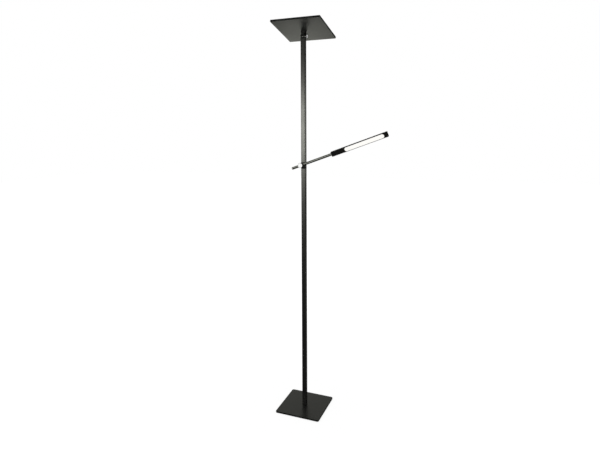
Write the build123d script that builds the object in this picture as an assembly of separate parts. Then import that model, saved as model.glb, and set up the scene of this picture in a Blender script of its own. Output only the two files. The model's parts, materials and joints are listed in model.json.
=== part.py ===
"""Torchiere floor lamp: a tilting square uplight on a square pole, with a swinging reading arm.

Millimetres, +Z up, origin at the centre of the base's underside on the floor.
The front of the lamp faces -Y, and the reading arm points to +X at rest.
"""
import os
from math import sqrt

from build123d import *

# Base
BASE_SIDE = 225.0
BASE_THICKNESS = 8.0
BASE_CORNER_R = 8.0
BASE_EDGE_CHAMFER = 0.8
PAD_THICKNESS = 2.0
PAD_INSET = 3.0
PAD_HOLE_MARGIN = 3.0

# Base bolt, driven from below into a plug in the foot of the pole
BOLT_D = 8.0
BOLT_HEAD_D = 13.0
BOLT_HEAD_H = 4.0
BOLT_SOCKET_AF = 5.0
BOLT_SOCKET_DEPTH = 2.4
BOLT_REACH = 15.0
WASHER_D = 20.0
WASHER_T = 1.2
COUNTERBORE_MARGIN = 1.0
BOLT_RECESS = 0.3
FOOT_PLUG_H = 20.0

# Pole
POLE_SIDE = 20.0
POLE_WALL = 1.5
POLE_CORNER_R = 1.5
INNER_CORNER_MIN_R = 0.3
ARM_HEIGHT = 1217.4
TILT_HEIGHT = 1778.0

# Grommet in the rear wall, where the supply lead goes in
GLAND_HEIGHT = 45.0
GLAND_NECK_D = 9.0
GLAND_FLANGE_D = 13.0
GLAND_OUTER_T = 2.2
GLAND_INNER_T = 1.4

# Lead inside the pole
LEAD_D = 5.0
LEAD_ENTRY = 1.0
LEAD_ROOM = 0.5
LEAD_END_GAP = 3.0

# Swivel of the reading arm: a block between the two lengths of the pole
BLOCK_H = 28.0
BLOCK_DROP = 2.5
SLIP_WASHER_T = 1.0
SLIP_WASHER_INSET = 0.5
BLOCK_WALL = 4.5
POST_PLUG_H = 25.0
UPPER_PLUG_H = 22.0

# Grub screws
GRUB_D = 4.0
GRUB_SINK = 0.95
GRUB_SOCKET_AF = 2.0
GRUB_SOCKET_DEPTH = 1.8

# Clamp that carries the arm's rod on the swivel block
ROD_FORWARD = 32.0
BARREL_D = 22.0
BARREL_FRONT_WALL = 10.0
BARREL_EDGE = 0.5
BARREL_INLAY_INSET = 1.0
BARREL_INLAY_T = 1.0
STUD_THREAD_D = 6.0
STUD_THREAD_END_GAP = 0.5
STUD_COLLAR_AF = 13.0
STUD_COLLAR_T = 1.5
STUD_JOURNAL_D = 9.0
STUD_WIRE_D = 3.0
STUD_BORE_END_GAP = 0.5
STUD_END_WALL = 2.0
STUD_GROOVE_ROOM = 0.4
STUD_GROOVE_DEPTH = 1.0
FRICTION_RING_INSET = 1.0
FRICTION_RING_T = 1.0

# Reading arm, lengths measured along the rod from the clamp's centre
ARM_TILT = 19.55
ROD_D = 12.0
ROD_WALL = 1.0
ROD_TAIL = 47.3
TAIL_CAP_T = 2.0
TAIL_CAP_EDGE = 0.6
TAIL_PLUG_L = 8.0
READING_START = 153.0
READING_END = 416.4

# Journal on which the reading head rolls
JOURNAL_WALL = 1.1
JOURNAL_FLANGE_T = 1.0
JOURNAL_PLUG_L = 14.0
JOURNAL_NUT_ROOM = 0.4
JOURNAL_NUT_WALL = 0.9
JOURNAL_NUT_T = 2.5
ARM_WIRE_ROOM = 0.2

# Reading head
READING_ROLL = -70.0
READING_W = 22.0
READING_T = 12.0
READING_WALL = 1.4
READING_BACK_R = 1.4
READING_CORNER_R = 1.0
BOSS_L = 16.0
END_WALL_T = 3.0
BEZEL_T = 1.4
WINDOW_START = 64.3
WINDOW_END = 16.9
RIM_W = 2.0
DIFFUSER_FLANGE_FIT = 0.1
DIFFUSER_FLANGE_T = 1.0
STRIP_W = 11.0
STRIP_T = 1.2
STRIP_END_MARGIN = 2.0
CHIP_L = 3.5
CHIP_W = 2.8
CHIP_H = 0.7
CHIP_PITCH = 10.0
DIMMER_SIDE_GAP = 2.6
DIMMER_END_GAP = 6.0
TOUCH_PAD_D = 8.0

# Uplight head, measured from the tilt pivot with the panel level
HEAD_TILT = -12.3
HEAD_SIDE = 225.0
HEAD_OFFSET = 27.1
HEAD_RIM = 2.0
HEAD_LEDGE = 4.0
HEAD_FLOOR = 2.5
HEAD_CORNER_R = 2.0
HEAD_EDGE_CHAMFER = 0.5
HEAD_DIFFUSER_T = 2.0
HEAD_DIFFUSER_RECESS = 0.4
HEAD_AIR_GAP = 1.6
BOARD_MARGIN = 6.5
BOARD_T = 1.5
LED_SIDE = 5.0
LED_H = 0.8
LED_PITCH = 30.0
BOARD_SCREW_INSET = 10.0
BOARD_SCREW_D = 3.0
BOARD_SCREW_HEAD_AF = 5.5
BOARD_SCREW_HEAD_H = 1.2
BOARD_SCREW_REACH = 1.8

# Tilt knuckle between pole and uplight
KNUCKLE_PLUG_H = 25.0
TONGUE_T = 7.0
TONGUE_R = 8.0
SLOT_CLEAR = 0.8
FORK_WEB = 1.2
TILT_WASHER_T = 0.9
TILT_WASHER_INSET = 0.5
TILT_STUD_D = 6.0
KNOB_D = 18.0
KNOB_T = 7.5
KNOB_EDGE = 0.8
KNOB_SKIN = 2.5
KNOB_INLAY_INSET = 1.4
KNOB_INLAY_T = 1.0
CAP_NUT_WALL = 1.5
CAP_NUT_T = 4.0
CAP_NUT_SKIN = 1.2
CAP_NUT_EDGE = 0.9
NECK_SCREW_D = 4.0
NECK_SCREW_HEAD_D = 7.0
NECK_SCREW_HEAD_H = 1.6
NECK_SCREW_REACH = 12.0
NECK_SCREW_EDGE = 4.0
NECK_EDGE = 0.5

# Clearances: all-round on shafts and plugs, and between faces that turn on each other
RUNNING_FIT = 0.05
PLUG_FIT = 0.05
SHEET_FIT = 0.3
FACE_GAP = 0.05
TURN_GAP = 0.3

# Derived levels and sizes
BASE_TOP = PAD_THICKNESS + BASE_THICKNESS
COUNTERBORE_D = WASHER_D + 2 * COUNTERBORE_MARGIN
COUNTERBORE_DEPTH = WASHER_T + BOLT_HEAD_H + BOLT_RECESS
POLE_BORE = POLE_SIDE - 2 * POLE_WALL
POLE_HALF = POLE_SIDE / 2
PLUG_SIDE = POLE_BORE - 2 * PLUG_FIT
POST_D = POLE_SIDE - 2 * BLOCK_WALL
LEAD_BEND_R = POLE_HALF - POLE_WALL - LEAD_ENTRY
LEAD_BORE_D = LEAD_D + 2 * LEAD_ROOM
POLE_GRUB_L = POLE_HALF - POST_D / 2 - FACE_GAP
BLOCK_GAP = SLIP_WASHER_T + FACE_GAP
BLOCK_BOTTOM = ARM_HEIGHT - BLOCK_DROP - BLOCK_H / 2
BLOCK_TOP = BLOCK_BOTTOM + BLOCK_H
LOWER_POLE_TOP = BLOCK_BOTTOM - BLOCK_GAP
UPPER_POLE_BOTTOM = BLOCK_TOP + BLOCK_GAP
SLOT_DEPTH = TONGUE_R + SLOT_CLEAR
UPPER_POLE_TOP = TILT_HEIGHT - SLOT_DEPTH - FORK_WEB
EAR_GAP = TONGUE_T + 2 * (TILT_WASHER_T + 2 * FACE_GAP)
NECK_BOTTOM = POLE_HALF + SLOT_CLEAR
BARREL_BACK = POLE_HALF + STUD_COLLAR_T + FRICTION_RING_T + FACE_GAP
BARREL_FRONT = ROD_FORWARD + ROD_D / 2 + BARREL_FRONT_WALL
BARREL_INLAY_D = BARREL_D - 2 * BARREL_INLAY_INSET
STUD_BORE_END = ROD_FORWARD - ROD_D / 2 - STUD_END_WALL
STUD_TIP = STUD_BORE_END - STUD_BORE_END_GAP
STUD_GROOVE_AT = (BARREL_BACK + STUD_TIP) / 2
STUD_GROOVE_W = GRUB_D + 2 * STUD_GROOVE_ROOM
STUD_THREAD_L = BLOCK_WALL - STUD_THREAD_END_GAP
FRICTION_RING_D = BARREL_D - 2 * FRICTION_RING_INSET
ROD_BORE_D = ROD_D - 2 * ROD_WALL
ROD_HEAD_END = READING_START - TURN_GAP - JOURNAL_FLANGE_T
READING_L = READING_END - READING_START
FACE_Z = -READING_T / 2
BEZEL_BACK_Z = FACE_Z + BEZEL_T
CAVITY_TOP_Z = READING_T / 2 - READING_WALL
JOURNAL_NUT_D = READING_T - 2 * max(READING_WALL, BEZEL_T) - 2 * JOURNAL_NUT_ROOM
JOURNAL_D = JOURNAL_NUT_D - 2 * JOURNAL_NUT_WALL
JOURNAL_BORE_D = JOURNAL_D - 2 * JOURNAL_WALL
ARM_WIRE_D = JOURNAL_BORE_D - 2 * ARM_WIRE_ROOM
CAVITY_W = READING_W - 2 * READING_WALL
CAVITY_START = READING_START + BOSS_L
CAVITY_END = READING_END - END_WALL_T
WINDOW_FROM = READING_START + WINDOW_START
WINDOW_TO = READING_END - WINDOW_END
WINDOW_L = WINDOW_TO - WINDOW_FROM
WINDOW_MID = (WINDOW_FROM + WINDOW_TO) / 2
WINDOW_W = READING_W - 2 * RIM_W
DIFFUSER_FLANGE_W = RIM_W - READING_WALL - DIFFUSER_FLANGE_FIT
STRIP_L = WINDOW_L - 2 * STRIP_END_MARGIN
DIMMER_START = CAVITY_START + DIMMER_END_GAP
DIMMER_L = WINDOW_FROM - DIMMER_END_GAP - DIMMER_START
DIMMER_W = CAVITY_W - 2 * DIMMER_SIDE_GAP
BOARD_SIDE = HEAD_SIDE - 2 * (HEAD_RIM + HEAD_LEDGE + BOARD_MARGIN)
BOARD_BOTTOM = HEAD_OFFSET + HEAD_FLOOR
BOARD_TOP = BOARD_BOTTOM + BOARD_T
DIFFUSER_BOTTOM = BOARD_TOP + HEAD_AIR_GAP
DIFFUSER_TOP = DIFFUSER_BOTTOM + HEAD_DIFFUSER_T
HEAD_TOP = DIFFUSER_TOP + HEAD_DIFFUSER_RECESS
NECK_SCREW_SPREAD = 2 * (POLE_HALF - NECK_SCREW_EDGE)
TILT_WASHER_D = 2 * (TONGUE_R - TILT_WASHER_INSET)
CAP_NUT_D = TILT_STUD_D + 2 * CAP_NUT_WALL
KNOB_START = POLE_HALF + FACE_GAP
KNOB_END = KNOB_START + KNOB_T
KNOB_INLAY_D = KNOB_D - 2 * KNOB_INLAY_INSET

ON_FLOOR = (Align.CENTER, Align.CENTER, Align.MIN)
ALONG_X = Rot(0, 90, 0)
ALONG_FRONT = Rot(90, 0, 0)


def rod_z(diameter, bottom, top):
    """Upright round bar on the Z axis between two levels."""
    return Pos(0, 0, bottom) * Cylinder(diameter / 2, top - bottom, align=ON_FLOOR)


def rod_x(diameter, start, end):
    """Round bar on the X axis."""
    return ALONG_X * rod_z(diameter, start, end)


def rod_front(diameter, start, end):
    """Round bar that runs forward, towards -Y, between two distances from the pole's axis."""
    return ALONG_FRONT * rod_z(diameter, start, end)


def ring_x(outer, inner, start, end):
    return rod_x(outer, start, end) - rod_x(inner, start, end)


def ring_front(outer, inner, start, end):
    return rod_front(outer, start, end) - rod_front(inner, start, end)


def plate(side, corner, bottom, top):
    """Square plate with rounded corners, centred on the Z axis."""
    return Pos(0, 0, bottom) * extrude(RectangleRounded(side, side, corner), top - bottom)


def square_bar(side, bottom, top):
    return Pos(0, 0, bottom) * Box(side, side, top - bottom, align=ON_FLOOR)


def pole_plug(bottom, top):
    """Square plug that fills the pole's bore."""
    return square_bar(PLUG_SIDE, bottom, top)


def hexagon_bar(flats, length):
    """Hexagon bar or recess that starts on the XY plane and goes up."""
    return extrude(RegularPolygon(flats / sqrt(3), 6), length)


def grub_screw(length):
    """Set screw that points up, with its socket in its lower end, which lies on the XY plane."""
    return rod_z(GRUB_D, 0, length) - hexagon_bar(GRUB_SOCKET_AF, GRUB_SOCKET_DEPTH)


def slot_block(length, width, bottom, top):
    """Bar with half-round ends along X, centred on the Z axis."""
    return Pos(0, 0, bottom) * extrude(SlotOverall(length, width), top - bottom)


# Base and foot

def make_base_plate():
    body = plate(BASE_SIDE, BASE_CORNER_R, PAD_THICKNESS, BASE_TOP)
    body = chamfer(body.faces().sort_by(Axis.Z)[-1].edges(), BASE_EDGE_CHAMFER)
    body -= rod_z(BOLT_D + 2 * PLUG_FIT, 0, BASE_TOP)
    return body - rod_z(COUNTERBORE_D, 0, PAD_THICKNESS + COUNTERBORE_DEPTH)


def make_base_pad():
    corner = max(BASE_CORNER_R - PAD_INSET, INNER_CORNER_MIN_R)
    body = plate(BASE_SIDE - 2 * PAD_INSET, corner, 0, PAD_THICKNESS)
    return body - rod_z(COUNTERBORE_D + 2 * PAD_HOLE_MARGIN, 0, PAD_THICKNESS)


def washer_seat():
    return PAD_THICKNESS + COUNTERBORE_DEPTH


def make_base_washer():
    seat = washer_seat()
    hole = BOLT_D + 2 * PLUG_FIT
    return rod_z(WASHER_D, seat - WASHER_T, seat) - rod_z(hole, seat - WASHER_T, seat)


def make_base_bolt():
    head_top = washer_seat() - WASHER_T
    head_bottom = head_top - BOLT_HEAD_H
    body = rod_z(BOLT_HEAD_D, head_bottom, head_top) + rod_z(BOLT_D, head_top, BASE_TOP + BOLT_REACH)
    return body - Pos(0, 0, head_bottom) * hexagon_bar(BOLT_SOCKET_AF, BOLT_SOCKET_DEPTH)


def make_foot_plug():
    body = pole_plug(BASE_TOP, BASE_TOP + FOOT_PLUG_H)
    return body - rod_z(BOLT_D + 2 * PLUG_FIT, BASE_TOP, BASE_TOP + BOLT_REACH + 2 * PLUG_FIT)


# Pole

def pole_length(bottom, top):
    outer = plate(POLE_SIDE, POLE_CORNER_R, bottom, top)
    return outer - square_bar(POLE_BORE, bottom, top)


def rear_grub_place(level):
    """Place of a set screw that goes in through the rear wall, with its socket flush outside."""
    return Pos(0, POLE_HALF, level) * ALONG_FRONT


def rear_grub_hole(level):
    return rear_grub_place(level) * rod_z(GRUB_D + 2 * PLUG_FIT, 0, POLE_GRUB_L)


GRUB_LEVELS = {
    "post": LOWER_POLE_TOP - POST_PLUG_H / 2,
    "upper_plug": UPPER_POLE_BOTTOM + UPPER_PLUG_H / 2,
    "fork": UPPER_POLE_TOP - KNUCKLE_PLUG_H / 2,
}


def make_pole_lower():
    body = pole_length(BASE_TOP, LOWER_POLE_TOP) - rear_grub_hole(GRUB_LEVELS["post"])
    gland_hole = rod_front(GLAND_NECK_D + 2 * PLUG_FIT, -POLE_SIDE, 0)
    return body - Pos(0, 0, GLAND_HEIGHT) * gland_hole


def make_pole_upper():
    body = pole_length(UPPER_POLE_BOTTOM, UPPER_POLE_TOP)
    return body - rear_grub_hole(GRUB_LEVELS["upper_plug"]) - rear_grub_hole(GRUB_LEVELS["fork"])


def make_pole_grub_screws():
    return [rear_grub_place(level) * grub_screw(POLE_GRUB_L) for level in GRUB_LEVELS.values()]


def make_cord_gland():
    wall_in = POLE_HALF - POLE_WALL
    outer_face = POLE_HALF + GLAND_OUTER_T
    inner_face = wall_in - GLAND_INNER_T
    body = rod_front(GLAND_FLANGE_D, -outer_face, -POLE_HALF)
    body += rod_front(GLAND_NECK_D, -POLE_HALF, -wall_in)
    body += rod_front(GLAND_FLANGE_D, -wall_in, -inner_face)
    body -= rod_front(LEAD_D + 2 * RUNNING_FIT, -outer_face, 0)
    return Pos(0, 0, GLAND_HEIGHT) * body


def make_pole_lead():
    """Lead from the grommet's bore, round a bend and up the middle of the pole."""
    start_y = POLE_HALF - POLE_WALL
    bend_end = GLAND_HEIGHT + LEAD_BEND_R
    top = TILT_HEIGHT - SLOT_DEPTH - LEAD_END_GAP
    entry = Line((0, start_y, GLAND_HEIGHT), (0, LEAD_BEND_R, GLAND_HEIGHT))
    bend = TangentArc((0, LEAD_BEND_R, GLAND_HEIGHT), (0, 0, bend_end), tangent=(0, -1, 0))
    rise = Line((0, 0, bend_end), (0, 0, top))
    path = Wire([entry.edge(), bend.edge(), rise.edge()])
    section = Plane(origin=path @ 0, z_dir=path % 0) * Circle(LEAD_D / 2)
    return sweep(section, path=path)


# Swivel of the reading arm

def make_swivel_post():
    body = pole_plug(LOWER_POLE_TOP - POST_PLUG_H, LOWER_POLE_TOP)
    body += rod_z(POST_D, LOWER_POLE_TOP, UPPER_POLE_BOTTOM + UPPER_PLUG_H)
    body -= rod_z(LEAD_BORE_D, LOWER_POLE_TOP - POST_PLUG_H, UPPER_POLE_BOTTOM + UPPER_PLUG_H)
    return body - rear_grub_hole(GRUB_LEVELS["post"])


def make_upper_plug():
    body = pole_plug(UPPER_POLE_BOTTOM, UPPER_POLE_BOTTOM + UPPER_PLUG_H)
    body -= rod_z(POST_D + 2 * PLUG_FIT, UPPER_POLE_BOTTOM, UPPER_POLE_BOTTOM + UPPER_PLUG_H)
    return body - rear_grub_hole(GRUB_LEVELS["upper_plug"])


def slip_washer(bottom):
    top = bottom + SLIP_WASHER_T
    hole = POST_D + 2 * PLUG_FIT
    return square_bar(POLE_SIDE - 2 * SLIP_WASHER_INSET, bottom, top) - rod_z(hole, bottom, top)


def make_lower_slip_washer():
    return slip_washer(LOWER_POLE_TOP)


def make_upper_slip_washer():
    return slip_washer(UPPER_POLE_BOTTOM - SLIP_WASHER_T)


def make_swivel_block():
    body = plate(POLE_SIDE, POLE_CORNER_R, BLOCK_BOTTOM, BLOCK_TOP)
    body -= rod_z(POST_D + 2 * RUNNING_FIT, BLOCK_BOTTOM, BLOCK_TOP)
    return body - Pos(0, 0, ARM_HEIGHT) * rod_front(STUD_THREAD_D + 2 * PLUG_FIT, 0, POLE_SIDE)


def make_clamp_stud():
    body = rod_front(STUD_THREAD_D, POLE_HALF - STUD_THREAD_L, POLE_HALF)
    body += ALONG_FRONT * Pos(0, 0, POLE_HALF) * hexagon_bar(STUD_COLLAR_AF, STUD_COLLAR_T)
    body += rod_front(STUD_JOURNAL_D, POLE_HALF + STUD_COLLAR_T, STUD_TIP)
    groove_d = STUD_JOURNAL_D - 2 * STUD_GROOVE_DEPTH
    groove_from = STUD_GROOVE_AT - STUD_GROOVE_W / 2
    body -= ring_front(2 * STUD_JOURNAL_D, groove_d, groove_from, groove_from + STUD_GROOVE_W)
    body -= rod_front(STUD_WIRE_D, 0, STUD_TIP)
    return Pos(0, 0, ARM_HEIGHT) * body


def make_friction_ring():
    back = POLE_HALF + STUD_COLLAR_T
    ring = ring_front(FRICTION_RING_D, STUD_JOURNAL_D + 2 * RUNNING_FIT, back, back + FRICTION_RING_T)
    return Pos(0, 0, ARM_HEIGHT) * ring


# Reading arm: made level, with the rod along X and the clamp's centre above the origin

ARM_PLACE = Pos(0, 0, ARM_HEIGHT) * Rot(0, -ARM_TILT, 0)
ROD_PLACE = ARM_PLACE * Pos(0, -ROD_FORWARD, 0)


def clamp_grubs():
    """Distance forward and tip radius of the two set screws that go up into the clamp."""
    groove_r = STUD_JOURNAL_D / 2 - STUD_GROOVE_DEPTH
    return [(ROD_FORWARD, ROD_D / 2 + FACE_GAP), (STUD_GROOVE_AT, groove_r + TURN_GAP)]


def make_clamp_barrel():
    body = rod_front(BARREL_D, BARREL_BACK, BARREL_FRONT)
    body = chamfer(body.faces().sort_by(Axis.Y)[0].edges(), BARREL_EDGE)
    body -= rod_front(BARREL_INLAY_D + 2 * PLUG_FIT, BARREL_FRONT - BARREL_INLAY_T, BARREL_FRONT)
    body -= rod_front(STUD_JOURNAL_D + 2 * RUNNING_FIT, 0, STUD_BORE_END)
    body -= rod_front(STUD_WIRE_D, 0, ROD_FORWARD)
    body -= Pos(0, -ROD_FORWARD, 0) * rod_x(ROD_D + 2 * PLUG_FIT, -BARREL_D, BARREL_D)
    for forward, _ in clamp_grubs():
        body -= Pos(0, -forward, 0) * rod_z(GRUB_D + 2 * PLUG_FIT, -BARREL_D, 0)
    return ARM_PLACE * body


def make_barrel_inlay():
    return ARM_PLACE * rod_front(BARREL_INLAY_D, BARREL_FRONT - BARREL_INLAY_T, BARREL_FRONT)


def make_clamp_grub_screws():
    socket_r = BARREL_D / 2 - GRUB_SINK
    return [
        ARM_PLACE * Pos(0, -forward, -socket_r) * grub_screw(socket_r - tip)
        for forward, tip in clamp_grubs()
    ]


def make_arm_rod():
    body = rod_x(ROD_D, -ROD_TAIL + TAIL_CAP_T, ROD_HEAD_END)
    body -= rod_x(ROD_BORE_D, -ROD_TAIL, ROD_HEAD_END)
    body -= ALONG_FRONT * rod_z(STUD_WIRE_D, -ROD_D, 0)
    return ROD_PLACE * body


def make_rod_tail_plug():
    body = rod_x(ROD_D, -ROD_TAIL, -ROD_TAIL + TAIL_CAP_T)
    body = chamfer(body.faces().sort_by(Axis.X)[0].edges(), TAIL_CAP_EDGE)
    insert_end = -ROD_TAIL + TAIL_CAP_T + TAIL_PLUG_L
    body += rod_x(ROD_BORE_D - 2 * PLUG_FIT, -ROD_TAIL + TAIL_CAP_T, insert_end)
    return ROD_PLACE * body


def journal_end():
    return CAVITY_START + TURN_GAP + JOURNAL_NUT_T


def make_head_journal():
    body = rod_x(ROD_BORE_D - 2 * PLUG_FIT, ROD_HEAD_END - JOURNAL_PLUG_L, ROD_HEAD_END)
    body += rod_x(ROD_D, ROD_HEAD_END, ROD_HEAD_END + JOURNAL_FLANGE_T)
    body += rod_x(JOURNAL_D, ROD_HEAD_END + JOURNAL_FLANGE_T, journal_end())
    body -= rod_x(JOURNAL_BORE_D, ROD_HEAD_END - JOURNAL_PLUG_L, journal_end())
    return ROD_PLACE * body


def make_journal_nut():
    nut = ring_x(JOURNAL_NUT_D, JOURNAL_D + 2 * PLUG_FIT, CAVITY_START + TURN_GAP, journal_end())
    return ROD_PLACE * nut


def make_arm_wire():
    return ROD_PLACE * rod_x(ARM_WIRE_D, 0, journal_end())


# Reading head: made with its window facing down

READING_PLACE = ROD_PLACE * Rot(READING_ROLL, 0, 0)


def reading_outline(bottom, top):
    """Bar of the head's full length and width between two levels."""
    outline = RectangleRounded(READING_L, READING_W, READING_CORNER_R)
    return Pos(READING_START + READING_L / 2, 0, bottom) * extrude(outline, top - bottom)


def make_reading_housing():
    body = reading_outline(BEZEL_BACK_Z, READING_T / 2)
    body = fillet(body.faces().sort_by(Axis.Z)[-1].edges(), min(READING_BACK_R, READING_WALL))
    cavity_l = CAVITY_END - CAVITY_START
    cavity = Box(cavity_l, CAVITY_W, CAVITY_TOP_Z - BEZEL_BACK_Z, align=ON_FLOOR)
    body -= Pos(CAVITY_START + cavity_l / 2, 0, BEZEL_BACK_Z) * cavity
    body -= rod_x(JOURNAL_D + 2 * RUNNING_FIT, READING_START, CAVITY_START)
    return READING_PLACE * body


def window(grow, bottom, top):
    """Stadium of the light window, grown all round, between two levels."""
    return Pos(WINDOW_MID, 0, 0) * slot_block(WINDOW_L + 2 * grow, WINDOW_W + 2 * grow, bottom, top)


def make_reading_bezel():
    body = reading_outline(FACE_Z, BEZEL_BACK_Z)
    return READING_PLACE * (body - window(0, FACE_Z, BEZEL_BACK_Z))


def make_reading_diffuser():
    body = window(-PLUG_FIT, FACE_Z, BEZEL_BACK_Z)
    body += window(DIFFUSER_FLANGE_W, BEZEL_BACK_Z, BEZEL_BACK_Z + DIFFUSER_FLANGE_T)
    return READING_PLACE * body


def make_reading_led_board():
    board = Box(STRIP_L, STRIP_W, STRIP_T, align=ON_FLOOR)
    return READING_PLACE * Pos(WINDOW_MID, 0, CAVITY_TOP_Z - STRIP_T) * board


def make_reading_leds():
    count = int((STRIP_L - CHIP_L) // CHIP_PITCH) + 1
    chip = Box(CHIP_L, CHIP_W, CHIP_H, align=ON_FLOOR)
    row = Pos(WINDOW_MID, 0, CAVITY_TOP_Z - STRIP_T - CHIP_H) * GridLocations(CHIP_PITCH, 1, count, 1)
    return [READING_PLACE * place * chip for place in row]


def make_dimmer_board():
    """Touch dimmer behind the plain part of the face, with its sensing pad against the bezel."""
    middle = Pos(DIMMER_START + DIMMER_L / 2, 0, 0)
    body = Pos(0, 0, CAVITY_TOP_Z - STRIP_T) * Box(DIMMER_L, DIMMER_W, STRIP_T, align=ON_FLOOR)
    body += rod_z(TOUCH_PAD_D, BEZEL_BACK_Z + FACE_GAP, CAVITY_TOP_Z - STRIP_T)
    return READING_PLACE * middle * body


# Uplight head: made level, with the tilt pivot at the origin

HEAD_PLACE = Pos(0, 0, TILT_HEIGHT) * Rot(HEAD_TILT, 0, 0)


def board_screw_spots():
    spread = BOARD_SIDE - 2 * BOARD_SCREW_INSET
    return GridLocations(spread, spread, 2, 2)


def neck_screw_spots():
    return GridLocations(1, NECK_SCREW_SPREAD, 1, 2)


def neck_screw(grow):
    """Flat-headed screw, head up and flush with the panel's floor, grown sideways and at its tip."""
    head_bottom = BOARD_BOTTOM - NECK_SCREW_HEAD_H
    shank = rod_z(NECK_SCREW_D + 2 * grow, BOARD_BOTTOM - NECK_SCREW_REACH - grow, head_bottom)
    return shank + rod_z(NECK_SCREW_HEAD_D + 2 * grow, head_bottom, BOARD_BOTTOM)


def make_head_tray():
    body = plate(HEAD_SIDE, HEAD_CORNER_R, HEAD_OFFSET, HEAD_TOP)
    body = chamfer(body.faces().sort_by(Axis.Z)[0].edges(), HEAD_EDGE_CHAMFER)
    rebate_corner = max(HEAD_CORNER_R - HEAD_RIM, INNER_CORNER_MIN_R)
    body -= plate(HEAD_SIDE - 2 * HEAD_RIM, rebate_corner, DIFFUSER_BOTTOM, HEAD_TOP)
    body -= square_bar(HEAD_SIDE - 2 * (HEAD_RIM + HEAD_LEDGE), BOARD_BOTTOM, HEAD_TOP)
    for spot in neck_screw_spots():
        body -= spot * neck_screw(PLUG_FIT)
    for spot in board_screw_spots():
        reach = BOARD_BOTTOM - BOARD_SCREW_REACH - PLUG_FIT
        body -= spot * rod_z(BOARD_SCREW_D + 2 * PLUG_FIT, reach, BOARD_TOP)
    return HEAD_PLACE * body


def make_head_diffuser():
    side = HEAD_SIDE - 2 * (HEAD_RIM + SHEET_FIT)
    corner = max(HEAD_CORNER_R - HEAD_RIM, INNER_CORNER_MIN_R)
    return HEAD_PLACE * plate(side, corner, DIFFUSER_BOTTOM, DIFFUSER_TOP)


def make_head_led_board():
    body = square_bar(BOARD_SIDE, BOARD_BOTTOM, BOARD_TOP)
    for spot in board_screw_spots():
        body -= spot * rod_z(BOARD_SCREW_D + 2 * PLUG_FIT, BOARD_BOTTOM, BOARD_TOP)
    return HEAD_PLACE * body


def make_head_leds():
    count = int((BOARD_SIDE - LED_SIDE) // LED_PITCH)
    led = square_bar(LED_SIDE, BOARD_TOP, BOARD_TOP + LED_H)
    return [HEAD_PLACE * spot * led for spot in GridLocations(LED_PITCH, LED_PITCH, count, count)]


def make_head_board_screws():
    screw = rod_z(BOARD_SCREW_D, BOARD_BOTTOM - BOARD_SCREW_REACH, BOARD_TOP)
    screw += Pos(0, 0, BOARD_TOP) * hexagon_bar(BOARD_SCREW_HEAD_AF, BOARD_SCREW_HEAD_H)
    return [HEAD_PLACE * spot * screw for spot in board_screw_spots()]


def make_neck_block():
    """Block under the panel with a round-ended tongue that turns between the fork's ears."""
    body = plate(POLE_SIDE, POLE_CORNER_R, NECK_BOTTOM, HEAD_OFFSET)
    body = chamfer(body.faces().sort_by(Axis.Z)[0].edges(), NECK_EDGE)
    body += rod_x(2 * TONGUE_R, -TONGUE_T / 2, TONGUE_T / 2)
    body += Box(TONGUE_T, 2 * TONGUE_R, NECK_BOTTOM + NECK_EDGE, align=ON_FLOOR)
    body -= rod_x(TILT_STUD_D + 2 * RUNNING_FIT, -POLE_SIDE, POLE_SIDE)
    for spot in neck_screw_spots():
        body -= spot * neck_screw(PLUG_FIT)
    return HEAD_PLACE * body


def make_neck_screws():
    screw = neck_screw(0)
    return [HEAD_PLACE * spot * screw for spot in neck_screw_spots()]


# Tilt fork, stud and knob

PIVOT_PLACE = Pos(0, 0, TILT_HEIGHT)


def make_pole_fork():
    shoulder = UPPER_POLE_TOP - TILT_HEIGHT
    body = plate(POLE_SIDE, POLE_CORNER_R, shoulder, 0)
    body += rod_x(POLE_SIDE, -POLE_HALF, POLE_HALF)
    body -= Pos(0, 0, -SLOT_DEPTH) * Box(EAR_GAP, 2 * POLE_SIDE, 2 * POLE_SIDE, align=ON_FLOOR)
    body += pole_plug(shoulder - KNUCKLE_PLUG_H, shoulder)
    body -= rod_x(TILT_STUD_D + 2 * RUNNING_FIT, -POLE_SIDE, POLE_SIDE)
    body -= rod_z(LEAD_BORE_D, shoulder - KNUCKLE_PLUG_H, 0)
    return PIVOT_PLACE * body - rear_grub_hole(GRUB_LEVELS["fork"])


def make_tilt_washers():
    inner_face = EAR_GAP / 2 - FACE_GAP - TILT_WASHER_T
    hole = TILT_STUD_D + 2 * RUNNING_FIT
    return [
        PIVOT_PLACE * turn * ring_x(TILT_WASHER_D, hole, inner_face, inner_face + TILT_WASHER_T)
        for turn in (Rot(0, 0, 0), Rot(0, 0, 180))
    ]


def make_tilt_cap_nut():
    end = POLE_HALF + CAP_NUT_T
    body = rod_x(CAP_NUT_D, POLE_HALF, end)
    body = chamfer(body.faces().sort_by(Axis.X)[-1].edges(), CAP_NUT_EDGE)
    body -= rod_x(TILT_STUD_D + 2 * RUNNING_FIT, 0, end - CAP_NUT_SKIN)
    return PIVOT_PLACE * Rot(0, 0, 180) * body


def make_tilt_knob():
    body = rod_x(KNOB_D, KNOB_START, KNOB_END)
    body = chamfer(body.faces().sort_by(Axis.X)[-1].edges(), KNOB_EDGE)
    body -= rod_x(KNOB_INLAY_D + 2 * PLUG_FIT, KNOB_END - KNOB_INLAY_T, KNOB_END)
    body -= rod_x(TILT_STUD_D + 2 * PLUG_FIT, 0, KNOB_END - KNOB_SKIN)
    return PIVOT_PLACE * body


def make_knob_inlay():
    return PIVOT_PLACE * rod_x(KNOB_INLAY_D, KNOB_END - KNOB_INLAY_T, KNOB_END)


def make_tilt_stud():
    nut_end = POLE_HALF + CAP_NUT_T - CAP_NUT_SKIN - TURN_GAP
    return PIVOT_PLACE * rod_x(TILT_STUD_D, -nut_end, KNOB_END - KNOB_SKIN)


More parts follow.
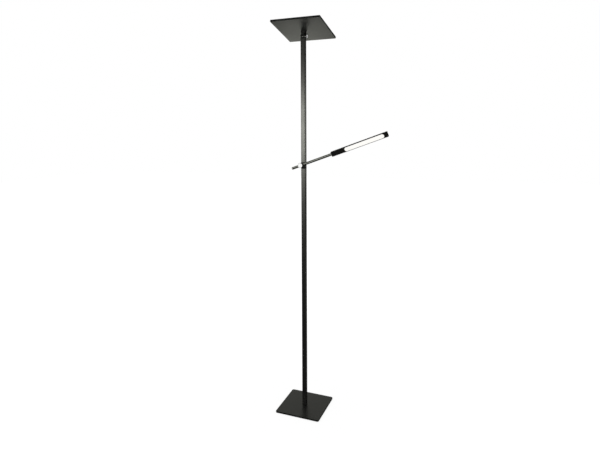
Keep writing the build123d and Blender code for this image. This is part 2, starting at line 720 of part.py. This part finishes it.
PARTS = {
    "base_plate": make_base_plate,
    "base_pad": make_base_pad,
    "base_bolt": make_base_bolt,
    "base_washer": make_base_washer,
    "pole_foot_plug": make_foot_plug,
    "pole_lower": make_pole_lower,
    "pole_upper": make_pole_upper,
    "pole_grub_screws": make_pole_grub_screws,
    "pole_lead": make_pole_lead,
    "cord_gland": make_cord_gland,
    "swivel_post": make_swivel_post,
    "upper_pole_plug": make_upper_plug,
    "lower_slip_washer": make_lower_slip_washer,
    "upper_slip_washer": make_upper_slip_washer,
    "pole_fork": make_pole_fork,
    "tilt_washers": make_tilt_washers,
    "tilt_cap_nut": make_tilt_cap_nut,
    "swivel_block": make_swivel_block,
    "clamp_stud": make_clamp_stud,
    "friction_ring": make_friction_ring,
    "clamp_barrel": make_clamp_barrel,
    "barrel_inlay": make_barrel_inlay,
    "clamp_grub_screws": make_clamp_grub_screws,
    "arm_rod": make_arm_rod,
    "rod_tail_plug": make_rod_tail_plug,
    "head_journal": make_head_journal,
    "journal_nut": make_journal_nut,
    "arm_wire": make_arm_wire,
    "reading_housing": make_reading_housing,
    "reading_bezel": make_reading_bezel,
    "reading_diffuser": make_reading_diffuser,
    "reading_led_board": make_reading_led_board,
    "reading_leds": make_reading_leds,
    "dimmer_board": make_dimmer_board,
    "head_tray": make_head_tray,
    "head_diffuser": make_head_diffuser,
    "head_led_board": make_head_led_board,
    "head_leds": make_head_leds,
    "head_board_screws": make_head_board_screws,
    "neck_block": make_neck_block,
    "neck_screws": make_neck_screws,
    "tilt_knob": make_tilt_knob,
    "knob_inlay": make_knob_inlay,
    "tilt_stud": make_tilt_stud,
}


def main():
    os.makedirs("parts", exist_ok=True)
    for name, make in PARTS.items():
        solid = make()
        if isinstance(solid, list):
            solid = Compound(children=solid)
        export_step(solid, f"parts/{name}.step")


main()
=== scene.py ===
"""Looks of the torchiere floor lamp: finishes, lit diffusers, studio light and camera."""
import json
import math

import bpy
from mathutils import Matrix, Vector

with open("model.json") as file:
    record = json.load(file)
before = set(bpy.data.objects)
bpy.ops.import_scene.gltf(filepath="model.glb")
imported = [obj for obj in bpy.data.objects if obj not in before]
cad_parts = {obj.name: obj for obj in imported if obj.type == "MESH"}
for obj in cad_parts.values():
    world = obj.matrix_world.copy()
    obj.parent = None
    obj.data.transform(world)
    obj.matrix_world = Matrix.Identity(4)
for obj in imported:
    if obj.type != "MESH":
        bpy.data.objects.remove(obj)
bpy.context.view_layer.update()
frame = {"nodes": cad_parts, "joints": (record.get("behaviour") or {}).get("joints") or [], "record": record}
nodes = frame["nodes"]
joints = {joint["name"]: joint for joint in frame["joints"]}

MM = 0.001
WHITE = (1.0, 1.0, 1.0)
BLACK = (0.0, 0.0, 0.0)

# Camera, at the photograph's viewpoint: metres and degrees.
# An azimuth of 0 is in front of the lamp, and 90 is to its right.
CAMERA_AZIMUTH = 21.81
CAMERA_PITCH = 10.85
CAMERA_ROLL = 0.33
CAMERA_DISTANCE = 2.2465
CAMERA_SIDESTEP = -0.0195
CAMERA_HEIGHT = 1.3655
FOCAL_PIXELS = 484.6
IMAGE_WIDTH = 600
SENSOR_WIDTH = 36.0

# Azimuths that the pole's front face and its right face mirror to the camera
FRONT_MIRRORED = -CAMERA_AZIMUTH
REAR_MIRRORED = 158.0

# Studio: metres, degrees and watts. A glow of 1 is white, and a fade is where a change starts and ends.
# The floor's glow behind the lamp is given for near the lamp and for far from it.
FLOOR_SIDE = 24.0
FLOOR_ALBEDO = 0.7
FLOOR_SEEN_ALBEDO = 0.12
FLOOR_SEEN_GLOW = 0.88
FLOOR_SEEN_FADE = (0.3, 1.5)
FLOOR_BEHIND_GLOW = (0.06, 0.3)
FLOOR_BEHIND_FADE = (2.4, 3.1)
FLOOR_BESIDE_FADE = (0.8, 2.2)
SOFTBOX_DISTANCE = 5.0
SOFTBOX_HEIGHT = 1.42
SOFTBOX_SIZE = (0.7, 0.8)
SOFTBOX_POWER = 38.0
CARDS = {
    "front_card": dict(azimuth=FRONT_MIRRORED, distance=5.2, height=0.5, size=(2.4, 1.4),
                       soft_edge=0.45, glow=1.4),
    "rear_card": dict(azimuth=REAR_MIRRORED, distance=5.2, height=1.35, size=(2.0, 1.8),
                      soft_edge=0.45, glow=0.78),
    "panel_card": dict(azimuth=203.0, distance=0.42, height=1.55, size=(0.6, 0.45),
                       soft_edge=0.22, glow=2.0),
}
AMBIENT = 1.0
DARK = 0.06
STUDIO_TINT = (0.985, 1.0, 0.9)

# The white wall behind the lamp and the soft light at its sides.
# Their fades are in the cosine of the angle to the wall's middle, and to straight sideways.
WALL_AZIMUTH = 214.0
WALL_GLOW = 0.56
WALL_FADE = (0.72, 0.9)
SIDE_AZIMUTH = 90 - CAMERA_AZIMUTH
SIDE_GLOW = 0.6
SIDE_FADE = (0.26, 0.5)

# Directions at rest: along the reading arm's rod, and out of the uplight's underside.
# The uplight tilts as far one way from level as the other, so the middle of its range is level.
ROD_DIRECTION = Vector(joints["reading_roll"]["axis"]).normalized()
ROD_TILT = math.atan2(ROD_DIRECTION.z, ROD_DIRECTION.x)
PANEL_TILT = -math.radians(sum(joints["uplight_tilt"]["range_deg"]) / 2)
PANEL_DOWN = Vector((0, math.sin(PANEL_TILT), -math.cos(PANEL_TILT)))

# Most of what a noise texture gives lies between these
NOISE_LOW = 0.35
NOISE_HIGH = 0.65

# Black paint
PAINT_DARK = (0.004, 0.004, 0.004)
PAINT_LIGHT = (0.006, 0.006, 0.0057)
PAINT_CLOUD = 60 * MM
PAINT_PEEL = 1.5 * MM
PAINT_PEEL_HEIGHT = 0.02 * MM
PAINT_SATIN = (0.24, 0.26)

# Paint of the uplight's tray: roughness, its unevenness, and the cosine to straight down where it changes
PANEL_MATT = 0.53
PANEL_GLOSSY = 0.2
PANEL_UNEVENNESS = (-0.01, 0.01)
PANEL_EDGE_FADE = (0.5, 0.9)

# Other finishes
BRUSHED_LINE = 0.35 * MM
BRUSHED_STRETCH = 33.0
BRUSHED_RELIEF = 0.006 * MM
MATT_ROUGHNESS = (0.62, 0.86)
MATT_SPECULAR = 0.3
OPAL_CLOUD = 18 * MM
OPAL_ROUGHNESS = (0.32, 0.42)


# Node helpers

def new_material(name):
    """A new material with its tree and its surface shader."""
    material = bpy.data.materials.new(name)
    material.use_nodes = True
    return material, material.node_tree, material.node_tree.nodes["Principled BSDF"]


def connect(tree, value, socket):
    """Links value to a socket, or sets the socket where value is a number."""
    if isinstance(value, (int, float)):
        socket.default_value = value
    else:
        tree.links.new(value, socket)


def object_coordinates(tree, turn=(0, 0, 0), stretch=(1, 1, 1)):
    """Coordinates in metres that stay with the piece, along turned axes and stretched along them."""
    source = tree.nodes.new("ShaderNodeTexCoord")
    mapping = tree.nodes.new("ShaderNodeMapping")
    mapping.vector_type = "TEXTURE"
    mapping.inputs["Rotation"].default_value = turn
    mapping.inputs["Scale"].default_value = stretch
    tree.links.new(source.outputs["Object"], mapping.inputs["Vector"])
    return mapping.outputs["Vector"]


def noise(tree, size, detail, turn=(0, 0, 0), stretch=(1, 1, 1)):
    """Noise from 0 to 1 whose features are about size metres across."""
    texture = tree.nodes.new("ShaderNodeTexNoise")
    texture.inputs["Scale"].default_value = 1.0 / size
    texture.inputs["Detail"].default_value = detail
    tree.links.new(object_coordinates(tree, turn, stretch), texture.inputs["Vector"])
    return texture.outputs["Fac"]


def ramp_value(tree, source, low, high, start=NOISE_LOW, end=NOISE_HIGH, smooth=False):
    """A number that goes from low to high as source goes from start to end."""
    node = tree.nodes.new("ShaderNodeMapRange")
    node.interpolation_type = "SMOOTHSTEP" if smooth else "LINEAR"
    node.inputs["From Min"].default_value = start
    node.inputs["From Max"].default_value = end
    node.inputs["To Min"].default_value = low
    node.inputs["To Max"].default_value = high
    tree.links.new(source, node.inputs["Value"])
    return node.outputs["Result"]


def ramp_colour(tree, source, low, high, start=NOISE_LOW, end=NOISE_HIGH):
    """A colour that goes from low to high as source goes from start to end."""
    node = tree.nodes.new("ShaderNodeValToRGB")
    first, last = node.color_ramp.elements
    first.position = start
    last.position = end
    first.color = (*low, 1)
    last.color = (*high, 1)
    tree.links.new(source, node.inputs["Fac"])
    return node.outputs["Color"]


def math_node(tree, operation, *values):
    """Result of an operation on sockets or numbers."""
    node = tree.nodes.new("ShaderNodeMath")
    node.operation = operation
    for value, socket in zip(values, node.inputs):
        connect(tree, value, socket)
    return node.outputs["Value"]


def vector_node(tree, operation, source, output, other=None):
    """Result of a vector operation on source, and on a constant vector where it takes two."""
    node = tree.nodes.new("ShaderNodeVectorMath")
    node.operation = operation
    tree.links.new(source, node.inputs[0])
    if other is not None:
        node.inputs[1].default_value = other
    return node.outputs[output]


def choose(tree, factor, otherwise, chosen):
    """The chosen number where factor is 1, and otherwise the other one."""
    node = tree.nodes.new("ShaderNodeMix")
    tree.links.new(factor, node.inputs["Factor"])
    connect(tree, otherwise, node.inputs["A"])
    connect(tree, chosen, node.inputs["B"])
    return node.outputs["Result"]


def colour_from(tree, shader, source, dark, light):
    """Base colour that goes from dark to light with a noise."""
    tree.links.new(ramp_colour(tree, source, dark, light), shader.inputs["Base Color"])


def gloss_from(tree, shader, source, roughness):
    """Roughness that goes through its range with a noise."""
    tree.links.new(ramp_value(tree, source, *roughness), shader.inputs["Roughness"])


def relief_from(tree, shader, source, height):
    """Relief of that height in metres from a noise."""
    node = tree.nodes.new("ShaderNodeBump")
    node.inputs["Strength"].default_value = 1.0
    node.inputs["Distance"].default_value = height
    tree.links.new(source, node.inputs["Height"])
    tree.links.new(node.outputs["Normal"], shader.inputs["Normal"])


# Finishes

def grey(value):
    """A colour without a tint."""
    return (value, value, value)


def black_paint(name, specular):
    """Black coating with faint cloudiness and a fine orange-peel relief. Its gloss is left to the caller."""
    material, tree, shader = new_material(name)
    cloud = noise(tree, PAINT_CLOUD, detail=2)
    colour_from(tree, shader, cloud, PAINT_DARK, PAINT_LIGHT)
    relief_from(tree, shader, noise(tree, PAINT_PEEL, detail=1), PAINT_PEEL_HEIGHT)
    shader.inputs["Specular IOR Level"].default_value = specular
    return material, tree, shader, cloud


def powder_coat(name, roughness, specular=0.5):
    """Black coating with a slightly uneven gloss."""
    material, tree, shader, cloud = black_paint(name, specular)
    gloss_from(tree, shader, cloud, roughness)
    return material


def panel_coat(name, specular):
    """Black coating of the uplight's tray, matt on its underside and glossier round its edge."""
    material, tree, shader, cloud = black_paint(name, specular)
    normal = tree.nodes.new("ShaderNodeTexCoord").outputs["Normal"]
    facing_down = vector_node(tree, "DOT_PRODUCT", normal, "Value", PANEL_DOWN)
    mean = ramp_value(tree, facing_down, PANEL_GLOSSY, PANEL_MATT, *PANEL_EDGE_FADE)
    unevenness = ramp_value(tree, cloud, *PANEL_UNEVENNESS)
    tree.links.new(math_node(tree, "ADD", mean, unevenness), shader.inputs["Roughness"])
    return material


def lacquer(name, dark, light, roughness, mottle_size, detail=3):
    """Smooth coating with a fine mottle in its colour and gloss."""
    material, tree, shader = new_material(name)
    mottle = noise(tree, mottle_size, detail)
    colour_from(tree, shader, mottle, dark, light)
    gloss_from(tree, shader, mottle, roughness)
    return material


def brushed_metal(name, dark, light, roughness, along_rod=False):
    """Satin metal, evenly grained or with fine lines drawn along the reading arm's rod."""
    material, tree, shader = new_material(name)
    turn = (0, -ROD_TILT, 0) if along_rod else (0, 0, 0)
    stretch = (BRUSHED_STRETCH, 1, 1) if along_rod else (1, 1, 1)
    lines = noise(tree, BRUSHED_LINE, detail=1, turn=turn, stretch=stretch)
    colour_from(tree, shader, lines, dark, light)
    gloss_from(tree, shader, lines, roughness)
    relief_from(tree, shader, lines, BRUSHED_RELIEF)
    shader.inputs["Metallic"].default_value = 1.0
    return material


def matt_polymer(name, dark, light, grain_size, relief):
    """Matt rubber or nylon with a fine grain."""
    material, tree, shader = new_material(name)
    grain = noise(tree, grain_size, detail=4)
    colour_from(tree, shader, grain, dark, light)
    gloss_from(tree, shader, grain, MATT_ROUGHNESS)
    relief_from(tree, shader, grain, relief)
    shader.inputs["Specular IOR Level"].default_value = MATT_SPECULAR
    return material


def lit_opal(name, dim, bright, strength, albedo):
    """Lit opal sheet: milky, with faint cloudiness in its glow."""
    material, tree, shader = new_material(name)
    cloud = noise(tree, OPAL_CLOUD, detail=3)
    tree.links.new(ramp_colour(tree, cloud, dim, bright), shader.inputs["Emission Color"])
    gloss_from(tree, shader, cloud, OPAL_ROUGHNESS)
    shader.inputs["Base Color"].default_value = (*grey(albedo), 1)
    shader.inputs["Emission Strength"].default_value = strength
    return material


# Finishes by the record's material slots, and those of single nodes that differ from their slot's
SLOT_FINISHES = {
    "black_steel": powder_coat("black_steel", roughness=PAINT_SATIN),
    "black_aluminium": powder_coat("black_aluminium", roughness=PAINT_SATIN),
    "black_gloss": powder_coat("black_gloss", roughness=(0.12, 0.15)),
    "satin_silver": lacquer("satin_silver", dark=(0.82, 0.82, 0.83), light=(0.88, 0.88, 0.89),
                            roughness=(0.32, 0.4), mottle_size=0.5 * MM, detail=2),
    "satin_steel": brushed_metal("satin_steel", dark=(0.17, 0.17, 0.165), light=(0.21, 0.21, 0.205),
                                 roughness=(0.30, 0.36), along_rod=True),
    "zinc_steel": brushed_metal("zinc_steel", dark=(0.50, 0.51, 0.53), light=(0.58, 0.59, 0.61),
                                roughness=(0.30, 0.38)),
    "pad_rubber": matt_polymer("pad_rubber", dark=grey(0.018), light=(0.03, 0.03, 0.029),
                               grain_size=0.8 * MM, relief=0.02 * MM),
    "black_nylon": matt_polymer("black_nylon", dark=grey(0.008), light=grey(0.012),
                                grain_size=0.4 * MM, relief=0.004 * MM),
    "lead_sheath": matt_polymer("lead_sheath", dark=grey(0.015), light=grey(0.025),
                                grain_size=0.6 * MM, relief=0.01 * MM),
    "white_board": lacquer("white_board", dark=(0.80, 0.80, 0.78), light=(0.88, 0.88, 0.86),
                           roughness=(0.35, 0.5), mottle_size=3 * MM),
    "led_phosphor": lacquer("led_phosphor", dark=(0.85, 0.68, 0.15), light=(0.95, 0.82, 0.3),
                            roughness=(0.3, 0.45), mottle_size=1 * MM),
}
READING_COAT = powder_coat("reading_coat", roughness=(0.55, 0.6), specular=0.1)
NODE_FINISHES = {
    "base_plate": powder_coat("base_coat", roughness=(0.31, 0.33)),
    "head_tray": panel_coat("panel_coat", specular=1.0),
    "reading_housing": READING_COAT,
    "reading_bezel": READING_COAT,
    "reading_diffuser": lit_opal("reading_opal", dim=(1.0, 0.98, 0.93), bright=(1.0, 0.99, 0.96),
                                 strength=0.8, albedo=0.2),
    "head_diffuser": lit_opal("head_opal", dim=(0.92, 0.89, 0.83), bright=(1.0, 0.98, 0.93),
                              strength=0.3, albedo=0.6),
}


def finish_nodes():
    """Gives every node its own finish, or that of its material slot."""
    for subpart in frame["record"]["subparts"]:
        name = subpart["node"]
        material = NODE_FINISHES.get(name) or SLOT_FINISHES[subpart["material_slot"]]
        materials = nodes[name].data.materials
        materials.clear()
        materials.append(material)


# Studio

def around(azimuth, distance, height):
    """Point at an azimuth and a distance round the pole."""
    angle = math.radians(azimuth)
    return Vector((math.sin(angle) * distance, -math.cos(angle) * distance, height))


def face_the_pole(thing, azimuth, distance, height):
    """Puts a card or lamp upright round the pole, turned to it."""
    thing.location = around(azimuth, distance, height)
    thing.rotation_euler = (math.radians(90), 0, math.radians(azimuth))


def rectangle(name, width, height):
    """A flat sheet in X and Y round its own origin."""
    x, y = width / 2, height / 2
    mesh = bpy.data.meshes.new(name)
    mesh.from_pydata([(-x, -y, 0), (x, -y, 0), (x, y, 0), (-x, y, 0)], [], [(0, 1, 2, 3)])
    sheet = bpy.data.objects.new(name, mesh)
    bpy.context.scene.collection.objects.link(sheet)
    return sheet


def ray_kinds(tree):
    """1 or 0 for rays that the camera sees directly, and for those it sees mirrored or through something."""
    path = tree.nodes.new("ShaderNodeLightPath")
    mirrored = math_node(tree, "MAXIMUM", path.outputs["Is Glossy Ray"], path.outputs["Is Transmission Ray"])
    return path.outputs["Is Camera Ray"], mirrored


def facing_wall(tree, direction, elsewhere, wall):
    """A number that becomes that of the wall as a direction turns to the white wall behind the lamp."""
    towards = vector_node(tree, "DOT_PRODUCT", direction, "Value", around(WALL_AZIMUTH, 1, 0))
    return ramp_value(tree, towards, elsewhere, wall, *WALL_FADE)


def beside(tree, direction):
    """1 where a direction goes to either side of the lamp, and 0 to the wall and the front and rear cards."""
    sideways = vector_node(tree, "DOT_PRODUCT", direction, "Value", around(SIDE_AZIMUTH, 1, 0))
    off_cards = ramp_value(tree, math_node(tree, "ABSOLUTE", sideways), 0.0, 1.0, *SIDE_FADE)
    return math_node(tree, "MULTIPLY", off_cards, facing_wall(tree, direction, 1.0, 0.0))


def tinted_in_mirrors(tree, mirrored):
    """White, and the colour of the studio's light where it shows in a reflection."""
    return ramp_colour(tree, mirrored, WHITE, STUDIO_TINT, 0.0, 1.0)


def add_world():
    """Plain white to the camera, soft ambient light, and the wall and the lit sides in reflections."""
    world = bpy.data.worlds.new("studio")
    bpy.context.scene.world = world
    world.use_nodes = True
    tree = world.node_tree
    background = tree.nodes["Background"]
    seen, mirrored = ray_kinds(tree)
    direction = tree.nodes.new("ShaderNodeTexCoord").outputs["Generated"]
    wall = facing_wall(tree, direction, DARK, WALL_GLOW)
    sides = ramp_value(tree, beside(tree, direction), DARK, SIDE_GLOW, 0.0, 1.0)
    unseen = choose(tree, mirrored, AMBIENT, math_node(tree, "MAXIMUM", wall, sides))
    tree.links.new(choose(tree, seen, unseen, 1.0), background.inputs["Strength"])
    tree.links.new(tinted_in_mirrors(tree, mirrored), background.inputs["Color"])
    world.cycles.sampling_method = "NONE"


def mirrored_floor_glow(tree, place, away):
    """Glow of the floor in reflections: dark near the lamp, lighter away from it behind and at its sides."""
    direction = vector_node(tree, "NORMALIZE", place, "Vector")
    far_behind = ramp_value(tree, away, 0.0, 1.0, *FLOOR_BEHIND_FADE)
    behind = math_node(tree, "MULTIPLY", facing_wall(tree, direction, 0.0, 1.0), far_behind)
    behind_glow = ramp_value(tree, behind, *FLOOR_BEHIND_GLOW, 0.0, 1.0)
    far_beside = ramp_value(tree, away, 0.0, SIDE_GLOW, *FLOOR_BESIDE_FADE)
    side_glow = math_node(tree, "MULTIPLY", beside(tree, direction), far_beside)
    return math_node(tree, "MAXIMUM", behind_glow, side_glow)


def floor_material():
    """White to the camera with the lamp's soft shadow, darker in reflections, and pale to all other light."""
    material, tree, shader = new_material("floor")
    seen, mirrored = ray_kinds(tree)
    place = object_coordinates(tree)
    away = vector_node(tree, "LENGTH", place, "Value")
    seen_glow = ramp_value(tree, away, FLOOR_SEEN_GLOW, 1.0, *FLOOR_SEEN_FADE)
    unseen_glow = choose(tree, mirrored, 0.0, mirrored_floor_glow(tree, place, away))
    tree.links.new(choose(tree, seen, unseen_glow, seen_glow), shader.inputs["Emission Strength"])
    tree.links.new(tinted_in_mirrors(tree, mirrored), shader.inputs["Emission Color"])
    unseen_albedo = choose(tree, mirrored, FLOOR_ALBEDO, 0.0)
    tree.links.new(choose(tree, seen, unseen_albedo, FLOOR_SEEN_ALBEDO), shader.inputs["Base Color"])
    shader.inputs["Roughness"].default_value = 1.0
    shader.inputs["Specular IOR Level"].default_value = 0.0
    return material


def add_floor():
    """Floor under the lamp."""
    floor = rectangle("floor", FLOOR_SIDE, FLOOR_SIDE)
    floor.data.materials.append(floor_material())


def add_softbox():
    """The one lamp, which the pole's front face mirrors."""
    data = bpy.data.lights.new("softbox", "AREA")
    data.shape = "RECTANGLE"
    data.size, data.size_y = SOFTBOX_SIZE
    data.energy = SOFTBOX_POWER
    data.color = STUDIO_TINT
    softbox = bpy.data.objects.new("softbox", data)
    face_the_pole(softbox, FRONT_MIRRORED, SOFTBOX_DISTANCE, SOFTBOX_HEIGHT)
    softbox.visible_camera = False
    bpy.context.scene.collection.objects.link(softbox)


def fade_out(tree, offset, half, soft_edge):
    """1 in the middle of a card and 0 at its edge, with a soft edge, for an offset from its middle."""
    away = math_node(tree, "ABSOLUTE", offset)
    return ramp_value(tree, away, 1.0, 0.0, half - soft_edge, half, smooth=True)


def card_material(name, size, soft_edge, glow):
    """Glow that fades to see-through at the card's edges, and isn't sampled as a lamp."""
    material, tree, shader = new_material(name)
    width, height = size
    offset = tree.nodes.new("ShaderNodeSeparateXYZ")
    tree.links.new(object_coordinates(tree), offset.inputs["Vector"])
    across = fade_out(tree, offset.outputs["X"], width / 2, soft_edge)
    upwards = fade_out(tree, offset.outputs["Y"], height / 2, soft_edge)
    tree.links.new(math_node(tree, "MULTIPLY", across, upwards), shader.inputs["Alpha"])
    shader.inputs["Emission Strength"].default_value = glow
    shader.inputs["Emission Color"].default_value = (*STUDIO_TINT, 1)
    shader.inputs["Base Color"].default_value = (*BLACK, 1)
    shader.inputs["Specular IOR Level"].default_value = 0.0
    material.cycles.emission_sampling = "NONE"
    return material


def add_card(name, azimuth, distance, height, size, soft_edge, glow):
    """Upright card with soft edges, which shows only in reflections."""
    card = rectangle(name, *size)
    card.data.materials.append(card_material(name, size, soft_edge, glow))
    face_the_pole(card, azimuth, distance, height)
    card.visible_camera = False
    card.visible_diffuse = False
    card.visible_shadow = False


def add_camera():
    """Camera at the photograph's viewpoint, with its pitch and slight roll."""
    azimuth, pitch, roll = (math.radians(angle) for angle in (CAMERA_AZIMUTH, CAMERA_PITCH, CAMERA_ROLL))
    back = Vector((math.sin(azimuth), -math.cos(azimuth), 0))
    right = Vector((math.cos(azimuth), math.sin(azimuth), 0))
    look = -back * math.cos(pitch) - Vector((0, 0, math.sin(pitch)))
    down = look.cross(right)
    rolled_right = right * math.cos(roll) + down * math.sin(roll)
    rolled_down = down * math.cos(roll) - right * math.sin(roll)
    turn = Matrix((rolled_right, -rolled_down, -look)).transposed()
    data = bpy.data.cameras.new("camera")
    data.sensor_width = SENSOR_WIDTH
    data.lens = FOCAL_PIXELS / IMAGE_WIDTH * SENSOR_WIDTH
    camera = bpy.data.objects.new("camera", data)
    place = back * CAMERA_DISTANCE + right * CAMERA_SIDESTEP + Vector((0, 0, CAMERA_HEIGHT))
    camera.matrix_world = Matrix.Translation(place) @ turn.to_4x4()
    bpy.context.scene.collection.objects.link(camera)
    bpy.context.scene.camera = camera


finish_nodes()
add_world()
add_floor()
add_softbox()
for card_name, settings in CARDS.items():
    add_card(card_name, **settings)
add_camera()
bpy.context.scene.view_settings.view_transform = "Standard"
